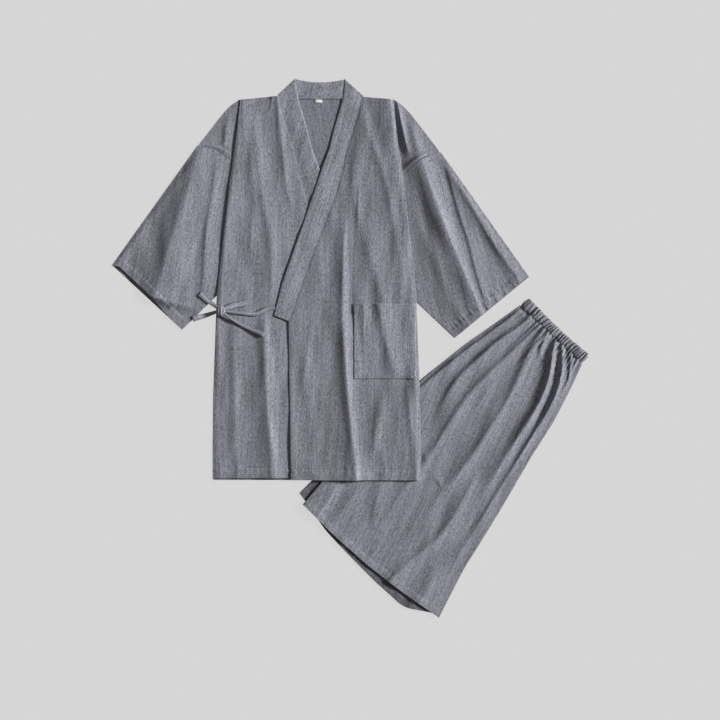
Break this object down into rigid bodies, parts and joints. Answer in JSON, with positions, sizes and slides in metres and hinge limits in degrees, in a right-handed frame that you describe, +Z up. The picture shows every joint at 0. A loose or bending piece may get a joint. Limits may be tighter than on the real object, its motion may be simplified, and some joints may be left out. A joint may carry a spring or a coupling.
{
  "type": "jinbei set",
  "caption": "Two-piece summer jinbei laid flat: wrap jacket tied at the side, with patch pocket and drawn-down sleeves, over folded elastic-waist shorts.",
  "frame": {"origin": "on the surface that the set lies on, under the middle of its bounding box", "axes": "+X towards the wearer's left sleeve, +Y from the jacket's hem towards its collar, +Z up off the surface"},
  "size_m": [0.9806, 1.1066, 0.0235],
  "materials": {
    "body_cloth": "matt slub cotton chambray, grey with a violet cast",
    "band_cloth": "the same cotton folded double and topstitched",
    "back_cloth": "the inside of the same cotton, in the shade of the neck",
    "label_tape": "bare white woven tape"
  },
  "bodies": {
    "root": {"jacket_back": "back_cloth", "right_front": "body_cloth", "left_front": "body_cloth", "right_sleeve": "body_cloth", "left_sleeve": "body_cloth", "collar": "band_cloth", "pocket": "body_cloth", "neck_label": "label_tape", "collar_tie": "band_cloth", "bow_knot": "band_cloth", "bow_left_loop": "band_cloth", "bow_right_loop": "band_cloth", "bow_left_tail": "band_cloth", "bow_right_tail": "band_cloth", "shorts_right_leg": "body_cloth", "shorts_left_leg": "body_cloth", "shorts_waistband": "band_cloth"}
  },
  "joints": []
}
